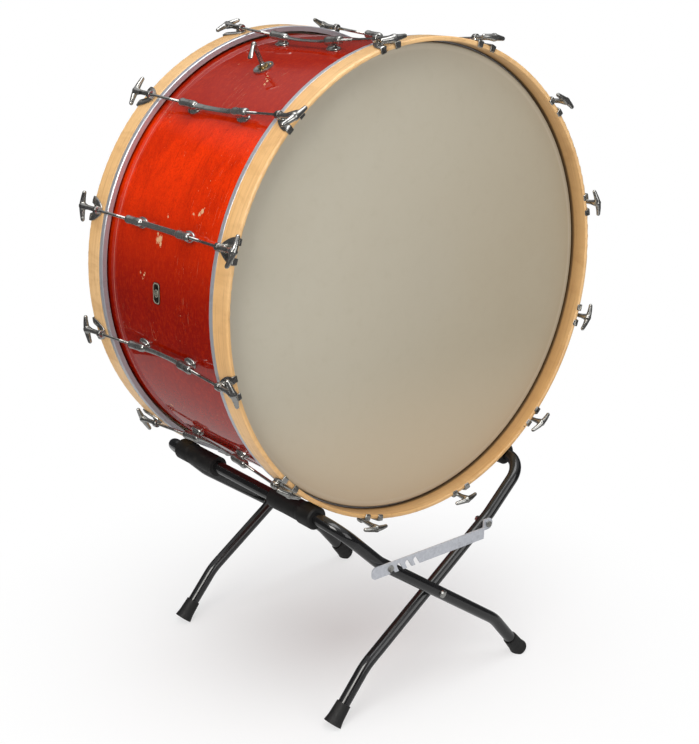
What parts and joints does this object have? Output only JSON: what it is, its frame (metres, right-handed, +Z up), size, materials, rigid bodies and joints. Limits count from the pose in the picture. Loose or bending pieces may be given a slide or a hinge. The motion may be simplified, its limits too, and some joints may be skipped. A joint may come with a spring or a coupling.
{
  "type": "bass drum",
  "caption": "Large concert bass drum with a stained wooden shell, maple hoops and T-handled tension rods, resting in a folding tubular cradle stand.",
  "frame": {"origin": "on the floor, under the middle of the drum", "axes": "+Z up, +Y along the drum's axis from the batter head to the back head, +X to the right when facing the batter head"},
  "size_m": [0.9704, 0.644, 1.3462],
  "materials": {
    "shell_wood": "red-orange stain under gloss varnish",
    "ring_wood": "bare",
    "hoop_maple": "natural maple, satin varnish",
    "flesh_hoop_metal": "satin",
    "head_film": "coated, matte",
    "plated_steel": "bright plate with handling wear",
    "plated_casting": "bright plate",
    "badge_metal": "dark patina",
    "tone_brass": "dull",
    "bare_steel": "zinc plate",
    "felt": "pressed wool felt",
    "black_paint": "gloss black",
    "black_rubber": "matte",
    "galvanised_steel": "galvanised"
  },
  "bodies": {
    "outer_stand": {"outer_frame": "black_paint", "outer_sleeves": "black_rubber", "outer_feet": "black_rubber", "pivot_bolts": "plated_steel", "pivot_nuts": "plated_steel", "pivot_washers": "plated_steel", "stop_pins": "plated_steel"},
    "inner_stand": {"inner_frame": "black_paint", "inner_sleeves": "black_rubber", "inner_feet": "black_rubber", "ratchet_bolt": "plated_steel", "ratchet_nut": "plated_steel"},
    "ratchet": {"ratchet_bar": "galvanised_steel"},
    "drum": {"shell": "shell_wood", "reinforcing_rings": "ring_wood", "front_hoop": "hoop_maple", "back_hoop": "hoop_maple", "front_flesh_hoop": "flesh_hoop_metal", "back_flesh_hoop": "flesh_hoop_metal", "front_head": "head_film", "back_head": "head_film", "front_claws": "plated_steel", "back_claws": "plated_steel", "lug_castings": "plated_casting", "swivel_nuts": "plated_steel", "lug_screws": "plated_steel", "badge_plate": "badge_metal", "badge_pins": "badge_metal", "tone_plate": "plated_casting", "tone_bush": "tone_brass", "tone_nut": "tone_brass"},
    "tone_control": {"tone_shaft": "bare_steel", "tone_lever": "plated_steel", "tone_arm": "bare_steel", "tone_pad_cup": "bare_steel", "tone_pad": "felt"},
    "rod_front_01": {"tension_rod_front_01": "plated_steel"},
    "rod_front_02": {"tension_rod_front_02": "plated_steel"},
    "rod_front_03": {"tension_rod_front_03": "plated_steel"},
    "rod_front_04": {"tension_rod_front_04": "plated_steel"},
    "rod_front_05": {"tension_rod_front_05": "plated_steel"},
    "rod_front_06": {"tension_rod_front_06": "plated_steel"},
    "rod_front_07": {"tension_rod_front_07": "plated_steel"},
    "rod_front_08": {"tension_rod_front_08": "plated_steel"},
    "rod_front_09": {"tension_rod_front_09": "plated_steel"},
    "rod_front_10": {"tension_rod_front_10": "plated_steel"},
    "rod_front_11": {"tension_rod_front_11": "plated_steel"},
    "rod_front_12": {"tension_rod_front_12": "plated_steel"},
    "rod_back_01": {"tension_rod_back_01": "plated_steel"},
    "rod_back_02": {"tension_rod_back_02": "plated_steel"},
    "rod_back_03": {"tension_rod_back_03": "plated_steel"},
    "rod_back_04": {"tension_rod_back_04": "plated_steel"},
    "rod_back_05": {"tension_rod_back_05": "plated_steel"},
    "rod_back_06": {"tension_rod_back_06": "plated_steel"},
    "rod_back_07": {"tension_rod_back_07": "plated_steel"},
    "rod_back_08": {"tension_rod_back_08": "plated_steel"},
    "rod_back_09": {"tension_rod_back_09": "plated_steel"},
    "rod_back_10": {"tension_rod_back_10": "plated_steel"},
    "rod_back_11": {"tension_rod_back_11": "plated_steel"},
    "rod_back_12": {"tension_rod_back_12": "plated_steel"}
  },
  "joints": [
    {"name": "drum_lift_off", "type": "slide", "parent": "outer_stand", "child": "drum", "axis": [0, 0, 1], "range_m": [0, 0.62]},
    {"name": "stand_fold", "type": "hinge", "parent": "outer_stand", "child": "inner_stand", "pos_m": [0, 0, 0.22947], "axis": [0, -1, 0], "range_deg": [0, 81]},
    {"name": "ratchet_swing", "type": "hinge", "parent": "inner_stand", "child": "ratchet", "pos_m": [0.15, -0.29, 0.33541], "axis": [0, -1, 0], "range_deg": [-91, 0]},
    {"name": "tone_control_turn", "type": "hinge", "parent": "drum", "child": "tone_control", "pos_m": [-0.20684, 0.008, 1.26694], "axis": [-0.454, 0, 0.891], "range_deg": [0, 42]},
    {"name": "rod_front_01_turn", "type": "hinge", "parent": "drum", "child": "rod_front_01", "pos_m": [0.46789, -0.21, 0.97679], "axis": [0.0777, -0.9968, 0.0192], "continuous": true},
    {"name": "rod_front_02_turn", "type": "hinge", "parent": "drum", "child": "rod_front_02", "pos_m": [0.34731, -0.21, 1.19522], "axis": [0.0576, -0.9968, 0.0555], "continuous": true},
    {"name": "rod_front_03_turn", "type": "hinge", "parent": "drum", "child": "rod_front_03", "pos_m": [0.13367, -0.21, 1.3241], "axis": [0.0222, -0.9968, 0.0769], "continuous": true},
    {"name": "rod_front_04_turn", "type": "hinge", "parent": "drum", "child": "rod_front_04", "pos_m": [-0.11579, -0.21, 1.32889], "axis": [-0.0192, -0.9968, 0.0777], "continuous": true},
    {"name": "rod_front_05_turn", "type": "hinge", "parent": "drum", "child": "rod_front_05", "pos_m": [-0.33422, -0.21, 1.20831], "axis": [-0.0555, -0.9968, 0.0576], "continuous": true},
    {"name": "rod_front_06_turn", "type": "hinge", "parent": "drum", "child": "rod_front_06", "pos_m": [-0.4631, -0.21, 0.99467], "axis": [-0.0769, -0.9968, 0.0222], "continuous": true},
    {"name": "rod_front_07_turn", "type": "hinge", "parent": "drum", "child": "rod_front_07", "pos_m": [-0.46789, -0.21, 0.74521], "axis": [-0.0777, -0.9968, -0.0192], "continuous": true},
    {"name": "rod_front_08_turn", "type": "hinge", "parent": "drum", "child": "rod_front_08", "pos_m": [-0.34731, -0.21, 0.52678], "axis": [-0.0576, -0.9968, -0.0555], "continuous": true},
    {"name": "rod_front_09_turn", "type": "hinge", "parent": "drum", "child": "rod_front_09", "pos_m": [-0.13367, -0.21, 0.3979], "axis": [-0.0222, -0.9968, -0.0769], "continuous": true},
    {"name": "rod_front_10_turn", "type": "hinge", "parent": "drum", "child": "rod_front_10", "pos_m": [0.11579, -0.21, 0.39311], "axis": [0.0192, -0.9968, -0.0777], "continuous": true},
    {"name": "rod_front_11_turn", "type": "hinge", "parent": "drum", "child": "rod_front_11", "pos_m": [0.33422, -0.21, 0.51369], "axis": [0.0555, -0.9968, -0.0576], "continuous": true},
    {"name": "rod_front_12_turn", "type": "hinge", "parent": "drum", "child": "rod_front_12", "pos_m": [0.4631, -0.21, 0.72733], "axis": [0.0769, -0.9968, -0.0222], "continuous": true},
    {"name": "rod_back_01_turn", "type": "hinge", "parent": "drum", "child": "rod_back_01", "pos_m": [0.46789, 0.21, 0.97679], "axis": [0.0777, 0.9968, 0.0192], "continuous": true},
    {"name": "rod_back_02_turn", "type": "hinge", "parent": "drum", "child": "rod_back_02", "pos_m": [0.34731, 0.21, 1.19522], "axis": [0.0576, 0.9968, 0.0555], "continuous": true},
    {"name": "rod_back_03_turn", "type": "hinge", "parent": "drum", "child": "rod_back_03", "pos_m": [0.13367, 0.21, 1.3241], "axis": [0.0222, 0.9968, 0.0769], "continuous": true},
    {"name": "rod_back_04_turn", "type": "hinge", "parent": "drum", "child": "rod_back_04", "pos_m": [-0.11579, 0.21, 1.32889], "axis": [-0.0192, 0.9968, 0.0777], "continuous": true},
    {"name": "rod_back_05_turn", "type": "hinge", "parent": "drum", "child": "rod_back_05", "pos_m": [-0.33422, 0.21, 1.20831], "axis": [-0.0555, 0.9968, 0.0576], "continuous": true},
    {"name": "rod_back_06_turn", "type": "hinge", "parent": "drum", "child": "rod_back_06", "pos_m": [-0.4631, 0.21, 0.99467], "axis": [-0.0769, 0.9968, 0.0222], "continuous": true},
    {"name": "rod_back_07_turn", "type": "hinge", "parent": "drum", "child": "rod_back_07", "pos_m": [-0.46789, 0.21, 0.74521], "axis": [-0.0777, 0.9968, -0.0192], "continuous": true},
    {"name": "rod_back_08_turn", "type": "hinge", "parent": "drum", "child": "rod_back_08", "pos_m": [-0.34731, 0.21, 0.52678], "axis": [-0.0576, 0.9968, -0.0555], "continuous": true},
    {"name": "rod_back_09_turn", "type": "hinge", "parent": "drum", "child": "rod_back_09", "pos_m": [-0.13367, 0.21, 0.3979], "axis": [-0.0222, 0.9968, -0.0769], "continuous": true},
    {"name": "rod_back_10_turn", "type": "hinge", "parent": "drum", "child": "rod_back_10", "pos_m": [0.11579, 0.21, 0.39311], "axis": [0.0192, 0.9968, -0.0777], "continuous": true},
    {"name": "rod_back_11_turn", "type": "hinge", "parent": "drum", "child": "rod_back_11", "pos_m": [0.33422, 0.21, 0.51369], "axis": [0.0555, 0.9968, -0.0576], "continuous": true},
    {"name": "rod_back_12_turn", "type": "hinge", "parent": "drum", "child": "rod_back_12", "pos_m": [0.4631, 0.21, 0.72733], "axis": [0.0769, 0.9968, -0.0222], "continuous": true}
  ],
  "couplings": [
    {"joint": "stand_fold", "follows": "drum_lift_off", "rad_per_m": 2.2727},
    {"joint": "ratchet_swing", "follows": "drum_lift_off", "rad_per_m": -2.53}
  ]
}
